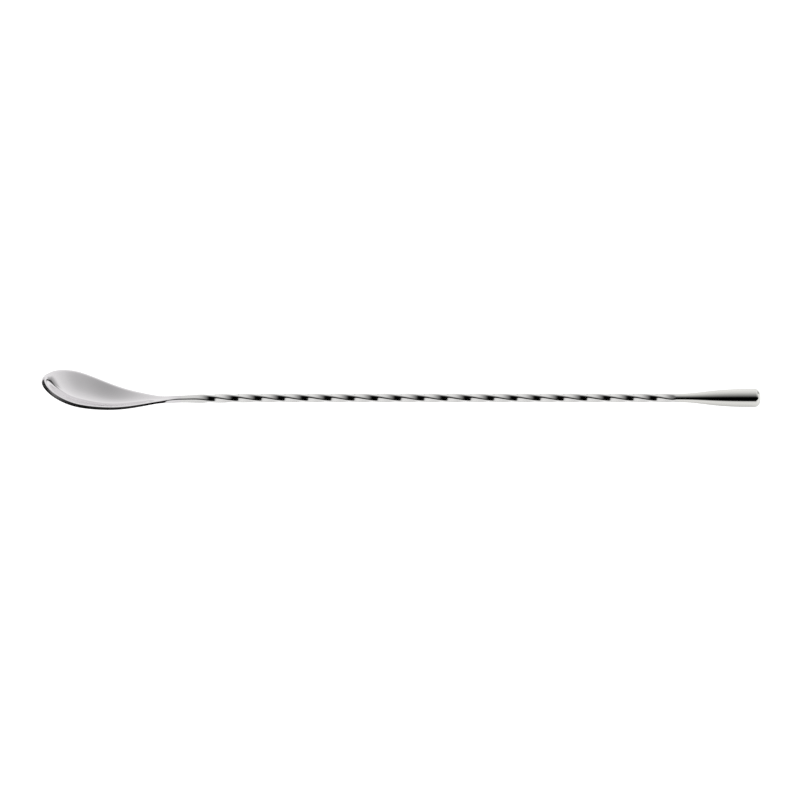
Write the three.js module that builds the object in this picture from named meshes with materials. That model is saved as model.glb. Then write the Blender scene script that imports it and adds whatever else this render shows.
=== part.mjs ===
// A teardrop bar spoon: a pressed bowl, a twisted square stem butt-welded to its neck, and a turned end
// weight brazed onto the stem's tenon.
//
// Millimetres. X runs along the spoon, with the bowl at -X and the weight at +X. Z is up, and the spoon
// lies on Z = 0, on the bowl's belly and the weight's side. The origin is midway along it, on that surface.

import * as THREE from "three";

// ---------------------------------------------------------------- driving dimensions

const LENGTH = 315;
const TIP_X = -LENGTH / 2;
const END_X = LENGTH / 2;

// End weight
const WEIGHT_RADIUS = 4;
const WEIGHT_LENGTH = 36;
const THROAT_RADIUS = 1.9; // where the weight starts, flush with the stem
const DOME_HEIGHT = 2;
const LAND_RADIUS = 1; // flat on the end of the dome
const FLARE_HANDLES = [[131, THROAT_RADIUS], [136, WEIGHT_RADIUS]]; // X and radius
const FLARE_END_X = 152;

// Stem
const AXIS_Z = WEIGHT_RADIUS; // height of the stem's axis above the surface
const STEM_HALF = 1.62; // half the width across the flats
const CORNER_SHARE = 0.52; // radius of the rod's corners, as a share of half its width
const TWIST_PITCH = 40.76; // right-handed, one full turn
const TWIST_START_X = -88.6; // middle of the short stretch in which the twist sets in
const TWIST_START_EASE = 3; // half the length of that stretch
const TWIST_END_X = 118.55; // middle of the stretch in which it dies out
const TWIST_END_EASE = 1.5;
const ROUND_FROM_X = 118.85; // the flats run out into a round throat between these two
const ROUND_TO_X = 120.85;
const REST_TURN = THREE.MathUtils.degToRad(15); // how the untwisted rod is turned about its axis

// Weld between the neck and the stem
const WELD_X = -96;
const WELD_WIDTH = 1.2;
const NECK_HALF = 1.3; // half the width of the rod at the weld
const SWELL_END_X = -86.4; // the stem has its full width from here
const NECK_DROOP = 0.6; // how far the rod hangs below the stem's axis at the weld
const DROOP_END_X = -52; // the stem is straight from here

// Brazed socket
const TENON_RADIUS = 1.1;
const TENON_LENGTH = 14;
const BORE_RADIUS = 1.3;
const BORE_LENGTH = 14.8;
const TENON_CHAMFER = 0.3;

// Bowl, with t measured from the tip along the spoon
const RIM_TIP = 1.245; // t of the rim's tip, inside the flared edge
const WIDEST_AT = 15.8;
const BOWL_HALF = 12.48; // half the width across the rim
const TIP_HANDLE = 0.5; // curve handles of the rounded end, as shares of its half width and of its length
const SIDE_HANDLE = 0.5523;
const TAPER_HANDLES = [[22.75, BOWL_HALF], [35.55, 7]]; // t and half width
const TAPER_END = [49.1, 2.75];
const NECK_HANDLES = [[51.6, 1.98], [53.6, 1.75]];
const STRIP_HALF = 1.75; // half the width of the flat neck
const NECK_STARTS = 50.4; // the flat neck starts to turn into the square rod here
const LIFT_STARTS = 53.6; // and from here it turns about its axis and climbs to the stem

// Rim: a flat land around the hollow, with a rounded edge on either side
const RIM_WIDTH = 0.7;
const EDGE_FILLET = 0.12;
const INNER_FILLET = 0.3;
const FULL_FILLET_FROM = { inner: 3, edge: 4 }; // narrower than this, half across, they shrink with the bowl

// Hollow: its section is a hyperbola that eases off at the lip
const HOLLOW_DEPTH = 5.1; // below the rim, at the widest place
const FLOOR_THICKNESS = 1.3;
const HOLLOW_BEND = 2.9; // how much straighter the walls are than the floor
const NECK_FULLNESS = 2.1; // how long the hollow stays deep towards the neck
const LIP_EASE = 0.018;
const LIP_POWER = 10;

// The rim climbs in a straight line towards the tip and levels out towards the neck.
const RIM_CLIMB = 0.314;
const RIM_BEND_AT = 34.35;
const RIM_BEND_SOFTNESS = 4;
const NECK_TOP = -0.4; // top of the flat neck, above the stem's axis

// The pressed edge under the rim: how far it drops and flares at the tip and at the neck
const EDGE_DROP = { tip: 1.35, neck: 0.8 };
const EDGE_FLARE = { tip: 1, neck: 0.5 };

// How finely the meshes are divided
const FAN_COLUMNS = 12; // places along the rim: tip to widest, widest to neck, and along the neck
const TAPER_COLUMNS = 14;
const NECK_COLUMNS = 10;
const FACE_STEPS = 9; // from the bowl's spine to its edge
const CORNER_STEPS = 2;
const EDGE_SAMPLES = 400;
const STEM_ROWS = 130;
const FLARE_STEPS = 12;
const DOME_STEPS = 6;
const WEIGHT_SEGMENTS = 40;
const SLEEVE_SEGMENTS = 24;

const JOINT_GAP = 0.05; // between neighbours, so that no two faces coincide
const NO_WIDTH = 1e-6; // stands in for the width where an edge line comes to its point
const NO_AREA = 1e-7; // triangles smaller than this are left out

// ---------------------------------------------------------------- small helpers

const { lerp, smoothstep } = THREE.MathUtils;
const vec = (x, y, z) => new THREE.Vector3(x, y, z);
const range = (count, from, to) => Array.from({ length: count + 1 }, (_, i) => lerp(from, to, i / count));

// Points on the quadratic curve from start to end, pulled towards the corner.
const fillet = (start, corner, end, steps) =>
  new THREE.QuadraticBezierCurve3(start, corner, end).getPoints(steps);

// A closed mesh from a grid of points: neighbours in a row and in a column are joined, degenerate
// triangles are left out, and the given loops of points are closed with flat caps.
class Skin {
  constructor() {
    this.corners = [];
  }
  triangle(a, b, c) {
    const area = vec(0, 0, 0).crossVectors(b.clone().sub(a), c.clone().sub(a)).length();
    if (area > NO_AREA) this.corners.push(a, b, c);
  }
  grid(rows, closed) {
    for (let i = 0; i + 1 < rows.length; i++) {
      const width = rows[i].length;
      for (let j = 0; j < (closed ? width : width - 1); j++) {
        const next = (j + 1) % width;
        this.triangle(rows[i][j], rows[i + 1][j], rows[i + 1][next]);
        this.triangle(rows[i][j], rows[i + 1][next], rows[i][next]);
      }
    }
  }
  cap(loop, flip) {
    const middle = loop.reduce((sum, p) => sum.add(p), vec(0, 0, 0)).divideScalar(loop.length);
    loop.forEach((p, i) => {
      const next = loop[(i + 1) % loop.length];
      if (flip) this.triangle(middle, next, p);
      else this.triangle(middle, p, next);
    });
  }
  geometry() {
    return new THREE.BufferGeometry().setFromPoints(this.corners);
  }
}

// ---------------------------------------------------------------- rod section

// Half the outline of the rod's rounded square, as offsets from its middle: the two corners on the +Y side,
// from the end of the top face to the end of the bottom face.
function rodCorners(half, corner) {
  const flat = half - corner;
  const arc = (side, from) =>
    range(CORNER_STEPS, from, from - Math.PI / 2).map((angle) => [
      flat + corner * Math.cos(angle),
      side * flat + corner * Math.sin(angle),
    ]);
  return [...arc(1, Math.PI / 2), ...arc(-1, 0)];
}

// The whole outline at X, turned about the stem's axis, anticlockwise seen from +X.
function rodLoop(x, half, corner, turn) {
  const right = rodCorners(half, corner);
  const left = right.map(([y, z]) => [-y, z]);
  return [...[...right].reverse(), ...left].map(([y, z]) => turned(x, y, z, turn, rodHeight(x)));
}

// A point given by its offsets from a line along X at the given height, turned about that line.
function turned(x, y, z, turn, height) {
  const cos = Math.cos(turn);
  const sin = Math.sin(turn);
  return vec(x, y * cos - z * sin, height + y * sin + z * cos);
}

// Height of the middle of the rod at X: the stem bends down a little to the neck.
function rodHeight(x) {
  const start = WELD_X - WELD_WIDTH / 2;
  const left = 1 - THREE.MathUtils.clamp((x - start) / (DROOP_END_X - start), 0, 1);
  return AXIS_Z - NECK_DROOP * left ** 2;
}

// ---------------------------------------------------------------- bowl

// The rim's plan from the tip to the neck, as t and half width.
const NECK_LENGTH_T = WELD_X - WELD_WIDTH / 2 - JOINT_GAP - TIP_X;
const point2 = (t, w) => new THREE.Vector2(TIP_X + t, w);
const rimCurves = [
  new THREE.CubicBezierCurve(
    point2(RIM_TIP, 0),
    point2(RIM_TIP, BOWL_HALF * TIP_HANDLE),
    point2(lerp(WIDEST_AT, RIM_TIP, SIDE_HANDLE), BOWL_HALF),
    point2(WIDEST_AT, BOWL_HALF),
  ),
  new THREE.CubicBezierCurve(
    point2(WIDEST_AT, BOWL_HALF),
    point2(...TAPER_HANDLES[0]),
    point2(...TAPER_HANDLES[1]),
    point2(...TAPER_END),
  ),
  new THREE.CubicBezierCurve(
    point2(...TAPER_END),
    point2(...NECK_HANDLES[0]),
    point2(...NECK_HANDLES[1]),
    point2(NECK_LENGTH_T, STRIP_HALF),
  ),
];

function rimHeight(x) {
  const bend = Math.exp((RIM_BEND_AT - (x - TIP_X)) / RIM_BEND_SOFTNESS);
  const rise = RIM_CLIMB * RIM_BEND_SOFTNESS * Math.log(1 + bend);
  return AXIS_Z + NECK_TOP + rise;
}

// A place on the rim and the directions there: out of the bowl in the rim's surface, and up from it.
function rimPlace(curve, s) {
  const at = curve.getPoint(s);
  const tangent = curve.getTangent(s);
  const step = 0.01;
  const slope = (rimHeight(at.x + step) - rimHeight(at.x - step)) / (2 * step);
  const along = vec(1, 0, slope).normalize();
  const up = vec(-slope, 0, 1).normalize();
  const out = along.multiplyScalar(-tangent.y).add(vec(0, tangent.x, 0));
  const origin = vec(at.x, at.y, rimHeight(at.x));
  return {
    t: at.x - TIP_X,
    place: (outwards, upwards) => origin.clone().addScaledVector(out, outwards).addScaledVector(up, upwards),
  };
}

const edgeSize = (size, t) => lerp(size.tip, size.neck, Math.min(t / NECK_STARTS, 1));
const innerEdge = (rim) => rim.place(-RIM_WIDTH, 0);
const lowerEdge = (rim) => rim.place(edgeSize(EDGE_FLARE, rim.t), -edgeSize(EDGE_DROP, rim.t));

// Half width and height of an edge line at X, from close samples of it.
function edgeLine(edge) {
  const fractions = range(EDGE_SAMPLES, 0, 1);
  const samples = rimCurves.flatMap((curve) => fractions.map((s) => edge(rimPlace(curve, s))));
  return (x) => {
    const found = samples.findIndex((p) => p.x >= x);
    const after = found === -1 ? samples.length - 1 : Math.max(1, found);
    const a = samples[after - 1];
    const b = samples[after];
    const f = b.x > a.x ? THREE.MathUtils.clamp((x - a.x) / (b.x - a.x), 0, 1) : 0;
    return { width: lerp(a.y, b.y, f), height: lerp(a.z, b.z, f) };
  };
}

// How far up a section of the hollow is, 0 to 1, at v from its middle.
function wallRise(v) {
  const hyperbola = (Math.hypot(1, HOLLOW_BEND * v) - 1) / (Math.hypot(1, HOLLOW_BEND) - 1);
  return (1 + LIP_EASE) * hyperbola - LIP_EASE * v ** LIP_POWER;
}

// A dished surface hung from an edge line. Its depth follows the width, so it runs out at the tip and neck.
function dish(line, depth) {
  const full = line(TIP_X + WIDEST_AT).width;
  return (x, y) => {
    const { width, height } = line(x);
    const narrowing = Math.max(0, 1 - (width / full) ** 2);
    const fullness = x < TIP_X + WIDEST_AT ? 1 : NECK_FULLNESS;
    const across = Math.min(1, Math.abs(y) / Math.max(width, NO_WIDTH));
    return height - depth * (1 - narrowing ** fullness) * (1 - wallRise(across));
  };
}

const hollow = dish(edgeLine(innerEdge), HOLLOW_DEPTH);
const belly = dish(edgeLine(lowerEdge), HOLLOW_DEPTH + FLOOR_THICKNESS - edgeSize(EDGE_DROP, WIDEST_AT));

// Half a section of the bowl, from its spine over the rim on the +Y side and back under to the spine.
function bowlProfile(rim) {
  const spineOf = (edge) => vec(Math.max(edge.x, TIP_X + WIDEST_AT), 0, 0);
  const onSurface = (edge, fraction, surface) => {
    const p = spineOf(edge).lerp(edge, fraction);
    return vec(p.x, p.y, surface(p.x, p.y));
  };
  const inner = innerEdge(rim);
  const lower = lowerEdge(rim);
  const corner = rim.place(0, 0);
  const facet = lower.clone().sub(corner).normalize();
  const innerReach = 1 - INNER_FILLET / Math.max(inner.y, FULL_FILLET_FROM.inner);
  const wallReach = 1 - EDGE_FILLET / Math.max(lower.y, FULL_FILLET_FROM.edge);
  const wallStart = onSurface(lower, wallReach, belly);
  const underCorner = corner.clone().addScaledVector(facet, EDGE_FILLET);
  const aboveLower = lower.clone().addScaledVector(facet, -EDGE_FILLET);
  return {
    top: [
      ...range(FACE_STEPS, 0, innerReach).map((f) => onSurface(inner, f, hollow)),
      rim.place(INNER_FILLET - RIM_WIDTH, 0),
    ],
    corners: [
      ...fillet(rim.place(-EDGE_FILLET, 0), corner, underCorner, CORNER_STEPS),
      ...fillet(aboveLower, lower, wallStart, CORNER_STEPS),
    ],
    bottom: range(FACE_STEPS, 1, 0).slice(1).map((f) => onSurface(wallStart, f, belly)),
  };
}

const neckClimb = (t) => smoothstep(t, LIFT_STARTS, NECK_LENGTH_T);
const neckHeight = (t) => AXIS_Z + lerp(NECK_TOP - EDGE_DROP.neck / 2, -NECK_DROOP, neckClimb(t));

// The neck's section: the flat strip turns into the square rod, and then climbs to the stem.
function neckProfile(rim) {
  const strip = bowlProfile(rim);
  const amount = smoothstep(rim.t, NECK_STARTS, NECK_LENGTH_T);
  if (amount === 0) return strip;
  const middle = neckHeight(rim.t);
  const shoulder = strip.corners[0].y;
  const heel = strip.corners[strip.corners.length - 1].y;
  const corner = CORNER_SHARE * NECK_HALF;
  const rod = rodCorners(NECK_HALF, corner);
  const flat = NECK_HALF - corner;
  const blend = (p, y, z) => vec(p.x, lerp(p.y, y, amount), lerp(p.z, middle + z, amount));
  return {
    top: strip.top.map((p) => blend(p, (p.y / shoulder) * flat, NECK_HALF)),
    corners: strip.corners.map((p, i) => blend(p, ...rod[i])),
    bottom: strip.bottom.map((p) => blend(p, (p.y / heel) * flat, -NECK_HALF)),
  };
}

function bowlGeometry() {
  const steps = [FAN_COLUMNS, TAPER_COLUMNS, NECK_COLUMNS];
  const columns = rimCurves.flatMap((curve, i) => {
    const fractions = range(steps[i], 0, 1).slice(i ? 1 : 0);
    return fractions.map((s) => rimPlace(curve, s));
  });
  const profiles = columns.map((rim) => {
    const { top, corners, bottom } = neckProfile(rim);
    return { t: rim.t, points: [...top, ...corners, ...bottom] };
  });
  // One side is the mirror image of the other, and both are turned with the neck.
  const side = (sign) =>
    profiles.map(({ t, points }) => {
      const turn = REST_TURN * neckClimb(t);
      const middle = neckHeight(t);
      return points.map((p) => turned(p.x, sign * p.y, p.z - middle, turn, middle));
    });
  const right = side(1);
  const left = side(-1);
  const skin = new Skin();
  skin.grid(right, false);
  skin.grid(left.map((row) => [...row].reverse()), false);
  const last = right.length - 1;
  skin.cap([...[...right[last]].reverse(), ...left[last].slice(1, -1)], false);
  return skin.geometry();
}

// ---------------------------------------------------------------- weld and stem

const weldStart = WELD_X - WELD_WIDTH / 2;
const weldEnd = WELD_X + WELD_WIDTH / 2;
const shoulderX = END_X - WEIGHT_LENGTH - JOINT_GAP;

// How wide the rod is at X: it swells from the weld to its full width.
const rodHalfWidth = (x) => lerp(NECK_HALF, STEM_HALF, smoothstep(x, weldStart, SWELL_END_X));

const rodCornerRadius = (x) => CORNER_SHARE * rodHalfWidth(x);

// How far x is past start, with the corner of the ramp rounded off over ease on both sides.
function easedRamp(x, start, ease) {
  const u = (x - start) / ease;
  if (u <= -1) return 0;
  return u >= 1 ? x - start : (ease * (u + 1) ** 2) / 4;
}

// The twist at X, which sets in and dies out over two short stretches.
function twist(x) {
  const twisted = easedRamp(x, TWIST_START_X, TWIST_START_EASE) - easedRamp(x, TWIST_END_X, TWIST_END_EASE);
  return REST_TURN + ((2 * Math.PI) / TWIST_PITCH) * twisted;
}

function weldGeometry() {
  const skin = new Skin();
  const loops = [weldStart, weldEnd].map((x) => rodLoop(x, rodHalfWidth(x), rodCornerRadius(x), twist(x)));
  skin.grid(loops.map((loop) => [...loop].reverse()), true);
  skin.cap(loops[0], true);
  skin.cap(loops[1], false);
  return skin.geometry();
}

// The rod's flats run out into the round throat just before the weight.
function stemLoop(x) {
  const round = smoothstep(x, ROUND_FROM_X, ROUND_TO_X);
  const half = lerp(rodHalfWidth(x), THROAT_RADIUS, round);
  const corner = lerp(rodCornerRadius(x), THROAT_RADIUS, round);
  return rodLoop(x, half, corner, twist(x));
}

function roundLoop(x, radius) {
  return rodLoop(x, radius, radius, twist(shoulderX));
}

function stemGeometry() {
  const start = weldEnd + JOINT_GAP;
  const rows = range(STEM_ROWS, start, shoulderX).map(stemLoop);
  const tenonEnd = shoulderX + TENON_LENGTH;
  rows.push(roundLoop(shoulderX, TENON_RADIUS));
  rows.push(roundLoop(tenonEnd - TENON_CHAMFER, TENON_RADIUS));
  rows.push(roundLoop(tenonEnd, TENON_RADIUS - TENON_CHAMFER));
  const skin = new Skin();
  skin.grid(rows.map((loop) => [...loop].reverse()), true);
  skin.cap(rows[0], true);
  skin.cap(rows[rows.length - 1], false);
  return skin.geometry();
}

// ---------------------------------------------------------------- weight and braze

// A profile of [x, radius] points turned about the stem's axis.
function turnedGeometry(profile, segments) {
  const points = profile.map(([x, radius]) => new THREE.Vector2(radius, x));
  return new THREE.LatheGeometry(points, segments).rotateZ(-Math.PI / 2).translate(0, 0, AXIS_Z);
}

function weightGeometry() {
  const throatX = END_X - WEIGHT_LENGTH;
  const flare = new THREE.CubicBezierCurve(
    new THREE.Vector2(throatX, THROAT_RADIUS),
    new THREE.Vector2(...FLARE_HANDLES[0]),
    new THREE.Vector2(...FLARE_HANDLES[1]),
    new THREE.Vector2(FLARE_END_X, WEIGHT_RADIUS),
  ).getPoints(FLARE_STEPS);
  // The dome is an arc from the side of the weight to the edge of its flat end.
  const domeReach = WEIGHT_RADIUS - LAND_RADIUS;
  const domeRadius = (domeReach ** 2 + DOME_HEIGHT ** 2) / (2 * DOME_HEIGHT);
  const dome = range(DOME_STEPS, Math.asin(domeReach / domeRadius), 0).map((angle) => [
    END_X - domeRadius * (1 - Math.cos(angle)),
    LAND_RADIUS + domeRadius * Math.sin(angle),
  ]);
  const profile = [
    [throatX + BORE_LENGTH, 0],
    [throatX + BORE_LENGTH, BORE_RADIUS],
    [throatX, BORE_RADIUS],
    ...flare.map((p) => [p.x, p.y]),
    ...dome,
    [END_X, 0],
  ];
  return turnedGeometry(profile, WEIGHT_SEGMENTS);
}

function brazeGeometry() {
  const start = END_X - WEIGHT_LENGTH + JOINT_GAP;
  const end = shoulderX + TENON_LENGTH - TENON_CHAMFER;
  const inner = TENON_RADIUS + JOINT_GAP;
  const outer = BORE_RADIUS - JOINT_GAP;
  const profile = [
    [start, inner],
    [start, outer],
    [end, outer],
    [end, inner],
    [start, inner],
  ];
  return turnedGeometry(profile, SLEEVE_SEGMENTS);
}

// ---------------------------------------------------------------- assembly

const polished = { color: 0xc9c8c6, metalness: 1, roughness: 0.12 };
const finishes = {
  bowl: new THREE.MeshStandardMaterial({ ...polished, roughness: 0.22 }),
  stem: new THREE.MeshStandardMaterial(polished),
  weight: new THREE.MeshStandardMaterial(polished),
  weld: new THREE.MeshStandardMaterial(polished),
  braze: new THREE.MeshStandardMaterial({ color: 0xcfc29a, metalness: 1, roughness: 0.4 }),
};

function piece(name, geometry, material) {
  const mesh = new THREE.Mesh(geometry, material);
  mesh.name = name;
  return mesh;
}

const barSpoon = new THREE.Group();
barSpoon.add(
  piece("bowl", bowlGeometry(), finishes.bowl),
  piece("neck_weld", weldGeometry(), finishes.weld),
  piece("twisted_stem", stemGeometry(), finishes.stem),
  piece("braze_sleeve", brazeGeometry(), finishes.braze),
  piece("end_weight", weightGeometry(), finishes.weight),
);

export default barSpoon;
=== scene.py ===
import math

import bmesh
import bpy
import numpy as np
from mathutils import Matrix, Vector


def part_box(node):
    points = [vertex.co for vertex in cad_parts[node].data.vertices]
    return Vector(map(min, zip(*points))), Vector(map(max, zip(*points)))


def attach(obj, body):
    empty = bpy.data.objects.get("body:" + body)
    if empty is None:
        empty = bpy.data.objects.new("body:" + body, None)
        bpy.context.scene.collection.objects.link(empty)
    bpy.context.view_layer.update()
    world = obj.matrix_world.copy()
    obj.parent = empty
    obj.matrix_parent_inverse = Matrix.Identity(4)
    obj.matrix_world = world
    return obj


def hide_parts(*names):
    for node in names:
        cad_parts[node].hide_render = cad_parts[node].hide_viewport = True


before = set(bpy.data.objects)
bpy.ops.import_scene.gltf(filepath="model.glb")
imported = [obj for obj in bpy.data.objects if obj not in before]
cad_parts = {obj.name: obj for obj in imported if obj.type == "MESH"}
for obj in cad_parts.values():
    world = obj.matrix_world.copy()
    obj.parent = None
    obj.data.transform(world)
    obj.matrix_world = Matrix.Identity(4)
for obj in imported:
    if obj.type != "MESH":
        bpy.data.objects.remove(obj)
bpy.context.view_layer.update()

# A teardrop bar spoon in polished stainless steel, lying on a white studio table.
#
# The CAD pieces are replaced one for one by finer meshes of the same shapes. Shapes are worked out in
# millimetres and scaled to metres when a mesh is made. X runs along the spoon, from the bowl at -X to the
# end weight at +X, Z is up, and the table is Z = 0.

MM = 0.001


# ---------------------------------------------------------------- sizes taken from the frame


def box_mm(node):
    low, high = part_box(node)
    return np.array(low) / MM, np.array(high) / MM


bowl_low, _ = box_mm("bowl")
weld_low, weld_high = box_mm("neck_weld")
_, stem_high = box_mm("twisted_stem")
weight_low, weight_high = box_mm("end_weight")

TIP_X = bowl_low[0]
WELD_START = weld_low[0]
WELD_END = weld_high[0]
THROAT_X = weight_low[0]
END_X = weight_high[0]
TENON_END = stem_high[0]
AXIS_Z = (weight_low[2] + weight_high[2]) / 2
WEIGHT_RADIUS = (weight_high[2] - weight_low[2]) / 2

# ---------------------------------------------------------------- sizes of the shapes, in millimetres

# End weight
THROAT_RADIUS = 1.9  # where the weight starts, flush with the stem
DOME_HEIGHT = 2.0
LAND_RADIUS = 1.0  # flat on the end of the dome
FLARE_HANDLES = ((131.0, THROAT_RADIUS), (136.0, WEIGHT_RADIUS))  # x and radius
FLARE_END_X = 152.0
SHOULDER_BAND = 2.0  # length of a last plain band before the dome
BORE_RADIUS = 1.3
BORE_LENGTH = 14.8
TENON_RADIUS = 1.1
TENON_CHAMFER = 0.3
SOCKET_GAP = 0.05

# Stem
STEM_HALF = 1.62  # half the width across the flats
CORNER_SHARE = 0.52  # radius of the rod's corners, as a share of half its width
TWIST_PITCH = 40.76  # right-handed, one full turn
TWIST_START_X = -88.6  # middle of the short stretch in which the twist sets in
TWIST_START_EASE = 3.0  # half the length of that stretch
TWIST_END_X = 118.55  # middle of the stretch in which it dies out
TWIST_END_EASE = 1.5
ROUND_FROM_X = 118.85  # the flats run out into a round throat between these two
ROUND_TO_X = 120.85
REST_TURN = math.radians(15.0)  # how the untwisted rod is turned about its axis
NECK_HALF = 1.3  # half the width of the rod at the weld
SWELL_END_X = -86.4  # the stem has its full width from here
NECK_DROOP = 0.6  # how far the rod hangs below the stem's axis at the weld
DROOP_END_X = -52.0  # the stem is straight from here

# Bowl, with t measured from the tip along the spoon
RIM_TIP = 1.265  # t of the rim's tip, inside the flared edge
WIDEST_AT = 15.8
BOWL_HALF = 12.475  # half the width across the rim
TIP_HANDLE = 0.50  # curve handles of the rounded end, as shares of its half width and of its length
SIDE_HANDLE = 0.5523
TAPER_HANDLES = ((22.75, BOWL_HALF), (35.55, 7.0))  # t and half width
TAPER_END = (49.1, 2.75)
NECK_HANDLES = ((51.6, 1.98), (53.6, 1.75))
STRIP_HALF = 1.75  # half the width of the flat neck
NECK_STARTS = 50.4  # the flat neck starts to turn into the square rod here
LIFT_STARTS = 53.6  # and from here it turns about its axis and climbs to the stem

# Rim: a flat land around the hollow, with a rounded edge on either side
RIM_WIDTH = 0.7
EDGE_FILLET = 0.12
INNER_FILLET = 0.3
FULL_EDGE_FROM = 4.0  # where the bowl is narrower than this, half across, the fillets shrink with it
FULL_INNER_FROM = 3.0

# Hollow: its section is a hyperbola that eases off at the lip
HOLLOW_DEPTH = 5.1  # below the rim, at the widest place
FLOOR_THICKNESS = 1.295
HOLLOW_BEND = 2.9  # how much straighter the walls are than the floor
NECK_FULLNESS = 2.1  # how long the hollow stays deep towards the neck
LIP_EASE = 0.018  # share of the depth by which the wall bends outwards at the lip
LIP_POWER = 10  # and how suddenly it does
NO_WIDTH = 1e-6  # stands in for the width where an edge line comes to its point

# The rim climbs in a straight line towards the tip and levels out towards the neck.
RIM_CLIMB = 0.314  # rise for each unit of length
RIM_BEND_AT = 34.35  # t
RIM_BEND_SOFTNESS = 4.0
NECK_TOP = -0.4  # top of the flat neck, above the stem's axis

# The pressed edge under the rim: how far it drops and flares at the tip and at the neck
EDGE_DROP = (1.35, 0.8)
EDGE_FLARE = (1.0, 0.5)
SATIN_FADE = 8.0  # its satin finish fades out over this length before the neck

# How finely the meshes are divided
FAN_COLUMNS = 72  # places along the rim: tip to widest, widest to neck, and along the neck
TAPER_COLUMNS = 110
NECK_COLUMNS = 60
EDGE_SAMPLES = (6000, 6000, 3000)  # places along the same three parts, for measuring the edge lines
FACE_STEPS = 34  # from the bowl's spine to its edge
CORNER_STEPS = 6
STEM_STEP = 0.3
STEM_FACE_STEPS = 5
WELD_RINGS = 5
ROUND_SEGMENTS = 96
FLARE_STEPS = 90
DOME_STEPS = 24

# Vertices closer than this, in metres, are one, and edges shorter than this are left out
SAME_PLACE = 1e-7
NO_LENGTH = 1e-8


# ---------------------------------------------------------------- curves


def lerp(a, b, f):
    return a + (b - a) * f


def smoothstep(x, low, high):
    f = np.clip((x - low) / (high - low), 0.0, 1.0)
    return f * f * (3 - 2 * f)


def bezier(points, s):
    """Points of a cubic curve and its unit tangents, at each s."""
    a, b, c, d = (np.array(p, float) for p in points)
    s = np.asarray(s, float)[:, None]
    place = a * (1 - s) ** 3 + 3 * b * s * (1 - s) ** 2 + 3 * c * s**2 * (1 - s) + d * s**3
    along = 3 * (b - a) * (1 - s) ** 2 + 6 * (c - b) * s * (1 - s) + 3 * (d - c) * s**2
    return place, along / np.linalg.norm(along, axis=1, keepdims=True)


def fillet(start, corner, end, steps):
    """Points on the quadratic curve from start to end, pulled towards the corner, for each row."""
    s = np.linspace(0, 1, steps + 1)[None, :, None]
    a, b, c = (p[:, None, :] for p in (start, corner, end))
    return a * (1 - s) ** 2 + 2 * b * s * (1 - s) + c * s**2


def unit(vectors):
    return vectors / np.linalg.norm(vectors, axis=-1, keepdims=True)


def turned(points, angle, height):
    """Points turned about lines along X, with one angle and one height for each row of points."""
    cos, sin = np.cos(angle)[..., None], np.sin(angle)[..., None]
    height = height[..., None]
    x, y, z = points[..., 0], points[..., 1], points[..., 2] - height
    return np.stack([x, y * cos - z * sin, height + y * sin + z * cos], axis=-1)


# ---------------------------------------------------------------- bowl


def plan(t, half_width):
    return (TIP_X + t, half_width)


RIM_CURVES = (
    (
        plan(RIM_TIP, 0),
        plan(RIM_TIP, BOWL_HALF * TIP_HANDLE),
        plan(lerp(WIDEST_AT, RIM_TIP, SIDE_HANDLE), BOWL_HALF),
        plan(WIDEST_AT, BOWL_HALF),
    ),
    (plan(WIDEST_AT, BOWL_HALF), plan(*TAPER_HANDLES[0]), plan(*TAPER_HANDLES[1]), plan(*TAPER_END)),
    (plan(*TAPER_END), plan(*NECK_HANDLES[0]), plan(*NECK_HANDLES[1]), (WELD_START, STRIP_HALF)),
)


def rim_height(x):
    bend = np.exp((RIM_BEND_AT - (x - TIP_X)) / RIM_BEND_SOFTNESS)
    return AXIS_Z + NECK_TOP + RIM_CLIMB * RIM_BEND_SOFTNESS * np.log(1 + bend)


class Rim:
    """Places along the rim, with the directions out of the bowl in the rim's surface and up from it."""

    def __init__(self, steps):
        places = []
        tangents = []
        # A curve after the first leaves out its first point, which is where the one before it ended.
        for i, (curve, count) in enumerate(zip(RIM_CURVES, steps)):
            place, tangent = bezier(curve, np.linspace(0, 1, count + 1)[min(i, 1):])
            places.append(place)
            tangents.append(tangent)
        place, tangent = np.concatenate(places), np.concatenate(tangents)
        x, y = place[:, 0], place[:, 1]
        step = 0.01
        slope = (rim_height(x + step) - rim_height(x - step)) / (2 * step)
        flat = np.zeros_like(x)
        along = unit(np.stack([flat + 1, flat, slope], axis=1))
        self.t = x - TIP_X
        self.up = unit(np.stack([-slope, flat, flat + 1], axis=1))
        self.out = along * -tangent[:, 1:] + np.stack([flat, tangent[:, 0], flat], axis=1)
        self.line = np.stack([x, y, rim_height(x)], axis=1)

    def place(self, outwards, upwards):
        outwards = np.broadcast_to(outwards, self.t.shape)[:, None]
        upwards = np.broadcast_to(upwards, self.t.shape)[:, None]
        return self.line + self.out * outwards + self.up * upwards

    def edge_size(self, sizes):
        return lerp(sizes[0], sizes[1], np.minimum(self.t / NECK_STARTS, 1))

    def inner_edge(self):
        return self.place(-RIM_WIDTH, 0)

    def lower_edge(self):
        return self.place(self.edge_size(EDGE_FLARE), -self.edge_size(EDGE_DROP))


def wall_rise(v):
    """How far up a section of the hollow is, 0 to 1, at v from its middle: a hyperbola, eased at the lip."""
    hyperbola = (np.sqrt(1 + (HOLLOW_BEND * v) ** 2) - 1) / (math.sqrt(1 + HOLLOW_BEND**2) - 1)
    return (1 + LIP_EASE) * hyperbola - LIP_EASE * v**LIP_POWER


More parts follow.
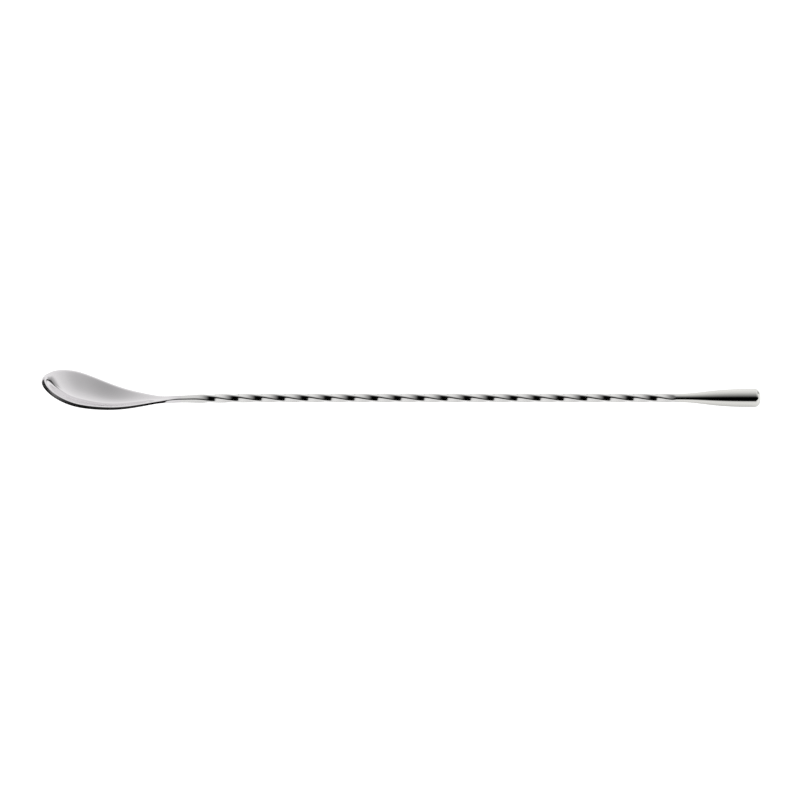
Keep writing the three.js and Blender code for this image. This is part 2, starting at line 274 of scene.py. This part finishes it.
def dish(edge, depth):
    """A dished surface hung from an edge line. Its depth follows the width, so it runs out at both ends."""
    order = np.argsort(edge[:, 0], kind="stable")
    xs, widths, heights = edge[order, 0], edge[order, 1], edge[order, 2]
    full = widths.max()

    def surface(x, y):
        width = np.maximum(np.interp(x, xs, widths), NO_WIDTH)
        height = np.interp(x, xs, heights)
        narrowing = 1 - (width / full) ** 2
        fullness = np.where(x < TIP_X + WIDEST_AT, 1.0, NECK_FULLNESS)
        deep = 1 - np.maximum(narrowing, 0) ** fullness
        return height - depth * deep * (1 - wall_rise(np.minimum(1, np.abs(y) / width)))

    return surface


def on_surface(edge, fractions, surface):
    """Points from the bowl's spine out to the edge, dropped onto a dished surface."""
    spine = np.stack([np.maximum(edge[:, 0], TIP_X + WIDEST_AT), 0 * edge[:, 0]], axis=1)
    fractions = np.broadcast_to(fractions, (len(edge), np.shape(fractions)[-1]))[..., None]
    plane = lerp(spine[:, None, :], edge[:, None, :2], fractions)
    height = surface(plane[..., 0], plane[..., 1])
    return np.concatenate([plane, height[..., None]], axis=2)


def rod_half(half, corner, steps):
    """The rod's two +Y corners as (y, z) offsets, from the end of its top to the end of its bottom face."""
    flat = half - corner
    arcs = []
    for side, start in ((1, math.pi / 2), (-1, 0.0)):
        angle = np.linspace(start, start - math.pi / 2, steps + 1)
        arcs.append(np.stack([flat + corner * np.cos(angle), side * flat + corner * np.sin(angle)], axis=1))
    return np.concatenate(arcs)


def bowl_sections(rim):
    """Half sections of the bowl, as if its flat neck went on to the weld: top, rounded edges, underside."""
    dense = Rim(EDGE_SAMPLES)
    drop = lerp(EDGE_DROP[0], EDGE_DROP[1], WIDEST_AT / NECK_STARTS)
    hollow = dish(dense.inner_edge(), HOLLOW_DEPTH)
    belly = dish(dense.lower_edge(), HOLLOW_DEPTH + FLOOR_THICKNESS - drop)

    inner, lower, corner = rim.inner_edge(), rim.lower_edge(), rim.place(0, 0)
    facet = unit(lower - corner)
    inner_reach = 1 - (INNER_FILLET / np.maximum(inner[:, 1], FULL_INNER_FROM))[:, None]
    wall_reach = 1 - (EDGE_FILLET / np.maximum(lower[:, 1], FULL_EDGE_FROM))[:, None]
    dish_end = on_surface(inner, inner_reach, hollow)[:, 0]
    wall_start = on_surface(lower, wall_reach, belly)[:, 0]
    steps = np.linspace(0, 1, FACE_STEPS + 1)
    top = np.concatenate(
        [
            on_surface(inner, inner_reach * steps[:-1], hollow),
            fillet(dish_end, inner, rim.place(-RIM_WIDTH + INNER_FILLET, 0), CORNER_STEPS),
            rim.place(-RIM_WIDTH / 2, 0)[:, None],
        ],
        axis=1,
    )
    corners = np.concatenate(
        [
            fillet(rim.place(-EDGE_FILLET, 0), corner, corner + facet * EDGE_FILLET, CORNER_STEPS),
            fillet(lower - facet * EDGE_FILLET, lower, wall_start, CORNER_STEPS),
        ],
        axis=1,
    )
    bottom = on_surface(wall_start, steps[::-1][1:], belly)
    return top, corners, bottom


def blend_into_rod(top, corners, bottom, amount, middle):
    """Moves sections towards the square rod's, with one amount and one height of its middle for each row."""
    corner_radius = CORNER_SHARE * NECK_HALF
    flat = NECK_HALF - corner_radius
    shoulder, heel = corners[:, :1, 1], corners[:, -1:, 1]
    rod = rod_half(NECK_HALF, corner_radius, CORNER_STEPS)
    for points, y, z in (
        (top, top[..., 1] / shoulder * flat, NECK_HALF),
        (corners, rod[:, 0], rod[:, 1]),
        (bottom, bottom[..., 1] / heel * flat, -NECK_HALF),
    ):
        # At the tip the bowl has no width to divide by, and nothing is moved there.
        target = np.where(amount > 0, y, 0)
        points[..., 1] = lerp(points[..., 1], target, amount)
        points[..., 2] = lerp(points[..., 2], middle + z, amount)


def bowl_half():
    """Half of the bowl's skin, with a row of points for each place along the rim. How satin each point is,
    and how far and about what height each row is turned, come with it."""
    rim = Rim((FAN_COLUMNS, TAPER_COLUMNS, NECK_COLUMNS))
    neck_end = WELD_START - TIP_X
    amount = smoothstep(rim.t, NECK_STARTS, neck_end)
    climb = smoothstep(rim.t, LIFT_STARTS, neck_end)
    middle = AXIS_Z + lerp(NECK_TOP - EDGE_DROP[1] / 2, -NECK_DROOP, climb)
    top, corners, bottom = bowl_sections(rim)
    blend_into_rod(top, corners, bottom, amount[:, None], middle[:, None])

    half = np.concatenate([top, corners, bottom], axis=1)
    satin = np.zeros(half.shape[:2])
    pressed_edge = slice(top.shape[1], top.shape[1] + corners.shape[1])
    satin[:, pressed_edge] = smoothstep(NECK_STARTS - rim.t, 0, SATIN_FADE)[:, None]
    return half, satin, REST_TURN * climb, middle


# ---------------------------------------------------------------- rod


def rod_width(x):
    return lerp(NECK_HALF, STEM_HALF, smoothstep(x, WELD_START, SWELL_END_X))


def droop(x):
    """How far the middle of the rod is below the stem's axis: the stem bends down a little to the neck."""
    left = 1 - np.clip((x - WELD_START) / (DROOP_END_X - WELD_START), 0.0, 1.0)
    return NECK_DROOP * left**2


def eased_ramp(x, start, ease):
    """How far x is past start, with the corner of the ramp rounded off over ease on both sides."""
    u = (x - start) / ease
    bend = ease * (u + 1) ** 2 / 4
    return np.where(u <= -1, 0, np.where(u >= 1, x - start, bend))


def twist(x):
    twisted = eased_ramp(x, TWIST_START_X, TWIST_START_EASE) - eased_ramp(x, TWIST_END_X, TWIST_END_EASE)
    return REST_TURN + 2 * math.pi / TWIST_PITCH * twisted


def rod_rings(xs, halves, corners):
    """Untwisted outlines of the rod, one row for each x, each face divided into a few strips."""
    rows = []
    for x, half, corner in zip(xs, halves, corners):
        flat = half - corner
        outline = []
        for quarter in range(4):
            angle = np.linspace(0, math.pi / 2, CORNER_STEPS + 1)
            y = flat + corner * np.cos(angle)
            z = flat + corner * np.sin(angle)
            across = np.linspace(flat, -flat, STEM_FACE_STEPS + 1)[1:-1]
            y = np.concatenate([y, across])
            z = np.concatenate([z, np.full(len(across), half)])
            c, s = round(math.cos(quarter * math.pi / 2)), round(math.sin(quarter * math.pi / 2))
            outline.append(np.stack([y * c - z * s, y * s + z * c], axis=1))
        ring = np.concatenate(outline)
        rows.append(np.column_stack([np.full(len(ring), x), ring[:, 0], AXIS_Z + ring[:, 1]]))
    return np.array(rows)


def twisted(rest):
    """The rod's outlines, twisted about its axis and lowered where it droops."""
    xs = rest[:, 0, 0]
    placed = turned(rest, twist(xs), np.full(len(xs), AXIS_Z))
    placed[..., 2] -= droop(xs)[:, None]
    return placed


# ---------------------------------------------------------------- meshes


class Builder:
    """Gathers grids of points and caps into one closed, smooth mesh. Each vertex keeps how satin it is, and
    its place on the rod before the twist, for the materials."""

    def __init__(self):
        self.mesh = bmesh.new()
        self.satin = self.mesh.verts.layers.float.new("satin")
        self.rod = self.mesh.verts.layers.float_vector.new("rod")

    def rows(self, points, satin=None, rest=None):
        satin = np.zeros(points.shape[:2]) if satin is None else satin
        rest = points if rest is None else rest
        made = []
        for row, softness, origin in zip(points, satin, rest):
            line = []
            for place, soft, source in zip(row, softness, origin):
                vertex = self.mesh.verts.new(Vector(place) * MM)
                vertex[self.satin] = soft
                vertex[self.rod] = Vector(source) * MM
                line.append(vertex)
            made.append(line)
        return made

    def join(self, rows, closed):
        for one, other in zip(rows, rows[1:]):
            count = len(one)
            for j in range(count if closed else count - 1):
                k = (j + 1) % count
                self.mesh.faces.new((one[j], other[j], other[k], one[k]))

    def cap(self, loop):
        self.mesh.faces.new(loop)

    def finish(self, name, node, material, crease=35):
        """Makes an object that stands in for a CAD node, with sharp edges above the crease angle."""
        bmesh.ops.remove_doubles(self.mesh, verts=self.mesh.verts, dist=SAME_PLACE)
        bmesh.ops.dissolve_degenerate(self.mesh, edges=self.mesh.edges, dist=NO_LENGTH)
        bmesh.ops.recalc_face_normals(self.mesh, faces=self.mesh.faces)
        data = bpy.data.meshes.new(name)
        self.mesh.to_mesh(data)
        self.mesh.free()
        data.polygons.foreach_set("use_smooth", [True] * len(data.polygons))
        data.set_sharp_from_angle(angle=math.radians(crease))
        data.materials.append(material)
        piece = bpy.data.objects.new(name, data)
        bpy.context.scene.collection.objects.link(piece)
        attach(piece, "root")
        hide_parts(node)
        return piece


def make_bowl(material):
    half, satin, turn, middle = bowl_half()
    mirrored = half * np.array([1, -1, 1])
    builder = Builder()
    right = builder.rows(turned(half, turn, middle), satin)
    left = builder.rows(turned(mirrored, turn, middle), satin)
    builder.join(right, closed=False)
    builder.join(left, closed=False)
    builder.cap(right[-1] + left[-1][-2:0:-1])
    return builder.finish("pressed_bowl", "bowl", material)


def make_weld(material):
    xs = np.linspace(WELD_START, WELD_END, WELD_RINGS)
    rest = rod_rings(xs, rod_width(xs), CORNER_SHARE * rod_width(xs))
    builder = Builder()
    rows = builder.rows(twisted(rest), rest=rest)
    builder.join(rows, closed=True)
    builder.cap(rows[0])
    builder.cap(rows[-1])
    return builder.finish("flush_weld", "neck_weld", material)


def make_stem(material):
    count = round((THROAT_X - WELD_END) / STEM_STEP)
    xs = np.linspace(WELD_END, THROAT_X, count + 1)
    round_off = smoothstep(xs, ROUND_FROM_X, ROUND_TO_X)
    halves = lerp(rod_width(xs), THROAT_RADIUS, round_off)
    corners = lerp(CORNER_SHARE * rod_width(xs), THROAT_RADIUS, round_off)
    tenon_xs = [THROAT_X, TENON_END - TENON_CHAMFER, TENON_END]
    tenon_radii = [TENON_RADIUS, TENON_RADIUS, TENON_RADIUS - TENON_CHAMFER]
    rest = rod_rings(
        np.concatenate([xs, tenon_xs]),
        np.concatenate([halves, tenon_radii]),
        np.concatenate([corners, tenon_radii]),
    )
    builder = Builder()
    rows = builder.rows(twisted(rest), rest=rest)
    builder.join(rows, closed=True)
    builder.cap(rows[0])
    builder.cap(rows[-1])
    return builder.finish("twisted_rod", "twisted_stem", material)


def lathe(builder, profile, closed):
    """Turns a profile of (x, radius) points about the stem's axis."""
    angle = np.linspace(0, 2 * math.pi, ROUND_SEGMENTS, endpoint=False)
    ring = np.stack([np.cos(angle), np.sin(angle)], axis=1)
    points = np.array([[(x, r * y, AXIS_Z + r * z) for y, z in ring] for x, r in profile])
    rows = builder.rows(points)
    builder.join(rows, closed=True)
    if closed:
        builder.join([rows[-1], rows[0]], closed=True)
    else:
        builder.cap(rows[0])
        builder.cap(rows[-1])


def flare_profile():
    """The weight's side, as (x, radius) points from the throat to its full width."""
    ends = ((THROAT_X, THROAT_RADIUS), (FLARE_END_X, WEIGHT_RADIUS))
    points, _ = bezier((ends[0], *FLARE_HANDLES, ends[1]), np.linspace(0, 1, FLARE_STEPS + 1))
    return [tuple(p) for p in points]


def dome_profile():
    """The domed end, as (x, radius) points on an arc that ends on a small flat."""
    reach = WEIGHT_RADIUS - LAND_RADIUS
    radius = (reach**2 + DOME_HEIGHT**2) / (2 * DOME_HEIGHT)
    angles = np.linspace(math.asin(reach / radius), 0, DOME_STEPS + 1)[1:]
    return [(END_X - radius * (1 - math.cos(a)), LAND_RADIUS + radius * math.sin(a)) for a in angles]


def make_weight(material):
    shoulder = END_X - DOME_HEIGHT
    bore = [(THROAT_X + BORE_LENGTH, BORE_RADIUS), (THROAT_X, BORE_RADIUS)]
    band = [(shoulder - SHOULDER_BAND, WEIGHT_RADIUS), (shoulder, WEIGHT_RADIUS)]
    builder = Builder()
    lathe(builder, bore + flare_profile() + band + dome_profile(), closed=False)
    return builder.finish("turned_weight", "end_weight", material, crease=15)


def make_braze(material):
    inner, outer = TENON_RADIUS + SOCKET_GAP, BORE_RADIUS - SOCKET_GAP
    start, end = THROAT_X + SOCKET_GAP, TENON_END - TENON_CHAMFER
    builder = Builder()
    lathe(builder, [(start, inner), (start, outer), (end, outer), (end, inner)], closed=True)
    return builder.finish("braze_film", "braze_sleeve", material)


# ---------------------------------------------------------------- materials


class Nodes:
    """A short way to add and link shader nodes. Inputs go by name, or by number as i0, i1 and so on."""

    def __init__(self, tree):
        self.tree = tree

    def add(self, kind, settings=None, **inputs):
        node = self.tree.nodes.new(kind)
        for key, value in (settings or {}).items():
            setattr(node, key, value)
        for key, value in inputs.items():
            numbered = key[0] == "i" and key[1:].isdigit()
            socket = node.inputs[int(key[1:])] if numbered else node.inputs[key]
            if isinstance(value, bpy.types.NodeSocket):
                self.tree.links.new(value, socket)
            else:
                socket.default_value = value
        return node

    def math(self, operation, a, b=0.0):
        return self.add("ShaderNodeMath", {"operation": operation}, i0=a, i1=b).outputs[0]

    def mix(self, factor, a, b):
        return self.add("ShaderNodeMix", {"data_type": "FLOAT"}, i0=factor, i2=a, i3=b).outputs[0]

    def ramp(self, value, low, high, start, end):
        """A smooth step from start, where the value is low, to end, where it is high."""
        smooth = {"interpolation_type": "SMOOTHSTEP"}
        limits = {"From Min": low, "From Max": high, "To Min": start, "To Max": end}
        return self.add("ShaderNodeMapRange", smooth, Value=value, **limits).outputs[0]

    def grey(self, level):
        return self.add("ShaderNodeCombineColor", None, i0=level, i1=level, i2=level).outputs[0]

    def mix_colours(self, factor, a, b, blend="MIX"):
        settings = {"data_type": "RGBA", "blend_type": blend}
        return self.add("ShaderNodeMix", settings, i0=factor, i6=a, i7=b).outputs[2]

    def noise(self, vector, scale, detail):
        return self.add("ShaderNodeTexNoise", None, Vector=vector, Scale=scale, Detail=detail).outputs["Fac"]

    def stretched(self, vector, scales):
        return self.add("ShaderNodeMapping", None, Vector=vector, Scale=scales).outputs[0]


# Scales of the patterns, in waves to the metre
SMEAR_SCALE = 90.0
SPECK_SCALE = 4200.0
# How much the patterns change the finish
LINE_EFFECT = (0.8, 1.2)  # on roughness, from the smoothest lines to the roughest
SMEAR_EFFECT = 0.05  # on roughness, either way
SMEAR_TONES = (0.97, 1.03)
SPECK_HEIGHT = 0.6  # of the grain's depth, where the finish is satin
LEAST_ROUGHNESS = 0.03


def steel(name, tone, gloss, satin_gloss, grain, depth):
    """Polished metal with fine lines, faint smears, and a rougher, speckled finish where it is satin.
    Grain is how often the lines repeat in a metre of X, Y and Z, and depth is their depth in metres."""
    material = bpy.data.materials.new(name)
    material.use_nodes = True
    tree = material.node_tree
    tree.nodes.clear()
    n = Nodes(tree)
    place = n.add("ShaderNodeAttribute", {"attribute_name": "rod"}).outputs["Vector"]
    satin = n.add("ShaderNodeAttribute", {"attribute_name": "satin"}).outputs["Fac"]

    lines = n.noise(n.stretched(place, grain), 1.0, detail=3.0)
    smears = n.noise(place, SMEAR_SCALE, detail=3.0)
    specks = n.noise(place, SPECK_SCALE, detail=1.0)
    rough = n.math("MULTIPLY", n.mix(satin, gloss, satin_gloss), n.mix(lines, *LINE_EFFECT))
    smeared = n.math("MULTIPLY", n.math("SUBTRACT", smears, 0.5), SMEAR_EFFECT)
    rough = n.math("MAXIMUM", n.math("ADD", rough, smeared), LEAST_ROUGHNESS)
    colour = n.mix_colours(1.0, (*tone, 1), n.grey(n.mix(smears, *SMEAR_TONES)), blend="MULTIPLY")
    height = n.math("ADD", lines, n.math("MULTIPLY", specks, n.math("MULTIPLY", satin, SPECK_HEIGHT)))
    bump = n.add("ShaderNodeBump", None, Strength=1.0, Distance=depth, Height=height).outputs[0]

    surface = n.add("ShaderNodeBsdfPrincipled", None, Metallic=1.0, Roughness=rough, Normal=bump)
    tree.links.new(colour, surface.inputs["Base Color"])
    output = n.add("ShaderNodeOutputMaterial")
    tree.links.new(surface.outputs[0], output.inputs[0])
    return material


STEEL = (0.77, 0.765, 0.755)
BOWL_STEEL = (0.755, 0.738, 0.752)
WEIGHT_STEEL = (0.77, 0.765, 0.735)
BRAZE = (0.80, 0.72, 0.50)
DRAW_LINES = (400.0, 9000.0, 9000.0)  # long and fine, along the rod
TURNING_LINES = (16000.0, 120.0, 120.0)  # around the weight


def bowl_finish():
    """Bright polish without a direction, with a satin pressed edge."""
    grain = (2500.0, 5000.0, 2500.0)
    return steel("soft_polished_steel", BOWL_STEEL, gloss=0.085, satin_gloss=0.24, grain=grain, depth=2e-8)


def weld_finish():
    return steel("ground_weld_steel", STEEL, gloss=0.13, satin_gloss=0.2, grain=DRAW_LINES, depth=4e-7)


def stem_finish():
    return steel("bright_drawn_steel", STEEL, gloss=0.13, satin_gloss=0.2, grain=DRAW_LINES, depth=4e-7)


def weight_finish():
    """A mirror polish in which the turning lines change only the gloss."""
    name = "turned_polished_steel"
    return steel(name, WEIGHT_STEEL, gloss=0.08, satin_gloss=0.2, grain=TURNING_LINES, depth=0.0)


def braze_finish():
    grain = (3000.0, 3000.0, 3000.0)
    return steel("silver_braze", BRAZE, gloss=0.35, satin_gloss=0.4, grain=grain, depth=4e-6)


# ---------------------------------------------------------------- studio

# Lengths are in metres from here on, apart from the camera's aim.
WHITE = 1.25  # brighter than the top of the scale, so that the camera sees plain white
FLOOR_SIZE = 40.0
FLOOR_REFLECTED = 1.03
# Painted shade: the table's glow is dimmed under the spoon by ambient occlusion, in what the steel reflects.
FLOOR_SHADE = 0.45  # share of it that is left in the shade under the spoon
SHADE_REACH = 0.012
SHADE_SAMPLES = 8
# Painted light falloff: the table's glow dims towards the front.
FRONT_NEAR, FRONT_FAR = -0.002, -0.055  # between these y the table gets dark towards the front


def make_floor():
    """A wide white table, lit to the top of the scale, with painted shade under the spoon and towards the
    front where the steel reflects it.
    """
    data = bpy.data.meshes.new("table")
    half = FLOOR_SIZE / 2
    corners = [(-half, -half, 0), (half, -half, 0), (half, half, 0), (-half, half, 0)]
    data.from_pydata(corners, [], [(0, 1, 2, 3)])
    material = bpy.data.materials.new("white_table_painted_shade")
    material.use_nodes = True
    tree = material.node_tree
    tree.nodes.clear()
    n = Nodes(tree)
    # The steel sees painted shade: the glow is dimmed by ambient occlusion under the spoon, and the table
    # gets darker towards the front as a painted falloff of light.
    settings = {"samples": SHADE_SAMPLES}
    openness = n.add("ShaderNodeAmbientOcclusion", settings, Distance=SHADE_REACH).outputs["AO"]
    place = n.add("ShaderNodeNewGeometry").outputs["Position"]
    depth = n.add("ShaderNodeSeparateXYZ", None, i0=place).outputs[1]
    # Painted shade and light falloff, multiplied into the table's glow.
    front = n.ramp(depth, FRONT_FAR, FRONT_NEAR, 0.0, FLOOR_REFLECTED)
    shaded = n.math("MULTIPLY", front, n.mix(openness, FLOOR_SHADE, 1.0))
    seen = n.mix(n.add("ShaderNodeLightPath").outputs["Is Camera Ray"], shaded, WHITE)
    glow = n.add("ShaderNodeEmission", None, Color=(1, 1, 1, 1), Strength=seen)
    output = n.add("ShaderNodeOutputMaterial")
    tree.links.new(glow.outputs[0], output.inputs[0])
    data.materials.append(material)
    floor = bpy.data.objects.new("table", data)
    bpy.context.scene.collection.objects.link(floor)


# Brightness of the surroundings along an arc over the spoon: degrees up from the horizon behind the
# camera, over the top and down to the horizon at the back.
SKY_ARC = (
    (0, 0.0),
    (39, 0.0),
    (46, 0.03),
    (52, 0.11),
    (60, 0.21),
    (73, 0.36),
    (86, 0.53),
    (107, 0.78),
    (125, 0.89),
    (150, 1.0),
    (180, 1.05),
)

# A dark strip runs round the room above the table. Its top, bottom and blur are heights of a direction, from
# 0 at the horizon to 1 overhead. Where it changes is given by how far the direction is to the right, from 0
# in front and at the back to 1 on the right, or in the same way to the left.
BACK_TOP, BACK_BOTTOM, BACK_BLUR = 0.2, 0.10, 0.015
RIGHT_TOP, RIGHT_BOTTOM, RIGHT_BLUR = 0.17, 0.10, 0.015
FAR_TOP, FAR_BOTTOM, FAR_BLUR = 0.195, 0.06, 0.014
LEFT_TOP, LEFT_BOTTOM = 0.75, 0.0
SIDE_FROM, SIDE_TO = 0.46, 0.58
FAR_FROM, FAR_TO = 0.6, 0.74
FAR_END = 0.84  # nothing dark from here on
LEFT_FROM, LEFT_TO = 0.25, 0.7
BACK_DARKNESS, SIDE_DARKNESS = 0.4, 0.98
TILT_FROM, TILT = 0.5, 0.5  # the strip climbs towards the right from here

# A grey haze stands over the right-hand part of the strip.
HAZE_TOP, HAZE_BLUR = 0.29, 0.07
HAZE_FROM, HAZE_TO = 0.58, 0.68
HAZE_DARKNESS = 0.55


def arc_light(n, way):
    """The brightness that SKY_ARC gives in a direction, as a colour."""
    forward = n.math("MULTIPLY", way[1], -1.0)
    # From 0 at the horizon behind the camera to 1 at the horizon at the back.
    arc = n.math("DIVIDE", n.math("ARCTAN2", way[2], forward), math.pi)
    ramp = n.add("ShaderNodeValToRGB", None, i0=arc)
    stops = ramp.color_ramp.elements
    # The added stops start at half way, and get their places below.
    while len(stops) < len(SKY_ARC):
        stops.new(0.5)
    for stop, (degrees, level) in zip(stops, SKY_ARC):
        stop.position = degrees / 180
        stop.color = (level, level, level, 1)
    return ramp.outputs[0]


def strip_darkness(n, way, height, not_far):
    """How dark the strip makes a direction: faint at the back, tall at the left, climbing at the right."""

    def around(back, right, far_right):
        at_side = n.ramp(way[0], SIDE_FROM, SIDE_TO, back, right)
        return n.ramp(way[0], FAR_FROM, FAR_TO, at_side, far_right)

    leftness = n.math("MULTIPLY", way[0], -1.0)
    top = n.ramp(leftness, LEFT_FROM, LEFT_TO, around(BACK_TOP, RIGHT_TOP, FAR_TOP), LEFT_TOP)
    bottom = n.ramp(leftness, LEFT_FROM, LEFT_TO, around(BACK_BOTTOM, RIGHT_BOTTOM, FAR_BOTTOM), LEFT_BOTTOM)
    blur = around(BACK_BLUR, RIGHT_BLUR, FAR_BLUR)
    under_top = n.ramp(n.math("DIVIDE", n.math("SUBTRACT", height, top), blur), -1.0, 1.0, 1.0, 0.0)
    over_bottom = n.ramp(n.math("SUBTRACT", height, bottom), -BACK_BLUR, BACK_BLUR, 0.0, 1.0)
    sideways = n.math("ABSOLUTE", way[0])
    darkness = n.ramp(sideways, SIDE_FROM, SIDE_TO, BACK_DARKNESS, SIDE_DARKNESS)
    inside = n.math("MULTIPLY", under_top, over_bottom)
    return n.math("MULTIPLY", inside, n.math("MULTIPLY", darkness, not_far))


def haze_darkness(n, way, height, not_far):
    rightness = n.ramp(way[0], HAZE_FROM, HAZE_TO, 0.0, HAZE_DARKNESS)
    haze = n.ramp(height, HAZE_TOP - HAZE_BLUR, HAZE_TOP + HAZE_BLUR, rightness, 0.0)
    return n.math("MULTIPLY", haze, not_far)


def make_sky():
    """The studio as the steel sees it. The camera itself sees a plain white room."""
    world = bpy.data.worlds.new("studio")
    bpy.context.scene.world = world
    world.use_nodes = True
    tree = world.node_tree
    tree.nodes.clear()
    n = Nodes(tree)
    way = n.add("ShaderNodeSeparateXYZ", None, i0=n.add("ShaderNodeTexCoord").outputs["Generated"]).outputs

    past_tilt = n.math("MAXIMUM", n.math("SUBTRACT", way[0], TILT_FROM), 0.0)
    height = n.math("SUBTRACT", way[2], n.math("MULTIPLY", past_tilt, TILT))
    not_far = n.ramp(n.math("SUBTRACT", way[0], FAR_END), -BACK_BLUR, BACK_BLUR, 1.0, 0.0)
    strip = strip_darkness(n, way, height, not_far)
    haze = haze_darkness(n, way, height, not_far)
    kept = n.math("SUBTRACT", 1.0, n.math("MAXIMUM", strip, haze))

    black, white = (0, 0, 0, 1), (WHITE, WHITE, WHITE, 1)
    shaded = n.mix_colours(kept, black, arc_light(n, way))
    seen = n.mix_colours(n.math("LESS_THAN", way[2], 0.0), shaded, white)
    from_camera = n.add("ShaderNodeLightPath").outputs["Is Camera Ray"]
    light = n.add("ShaderNodeBackground", None, i0=n.mix_colours(from_camera, seen, white))
    output = n.add("ShaderNodeOutputWorld")
    tree.links.new(light.outputs[0], output.inputs[0])


CAMERA_RISE = math.radians(34.4)
CAMERA_DISTANCE = 3.0
CLIP_END = 100.0
SENSOR = 0.036
VIEW_WIDTH = 0.3508  # at the spoon
AIM = (-0.58, -0.92)  # millimetres to the right and up in the picture, from the stem's axis at X = 0


def make_camera():
    data = bpy.data.cameras.new("camera")
    data.sensor_width = SENSOR / MM
    data.lens = SENSOR / MM * CAMERA_DISTANCE / VIEW_WIDTH
    data.clip_end = CLIP_END
    camera = bpy.data.objects.new("camera", data)
    back = Vector((0, -math.cos(CAMERA_RISE), math.sin(CAMERA_RISE)))
    up = Vector((0, math.sin(CAMERA_RISE), math.cos(CAMERA_RISE)))
    aim = Vector((AIM[0] * MM, 0, AXIS_Z * MM)) + up * AIM[1] * MM
    camera.location = aim + back * CAMERA_DISTANCE
    camera.rotation_euler = (math.pi / 2 - CAMERA_RISE, 0, 0)
    bpy.context.scene.collection.objects.link(camera)
    bpy.context.scene.camera = camera


# ---------------------------------------------------------------- everything together


bpy.context.scene.view_settings.view_transform = "Standard"
make_bowl(bowl_finish())
make_weld(weld_finish())
make_stem(stem_finish())
make_weight(weight_finish())
make_braze(braze_finish())
make_floor()
make_sky()
make_camera()
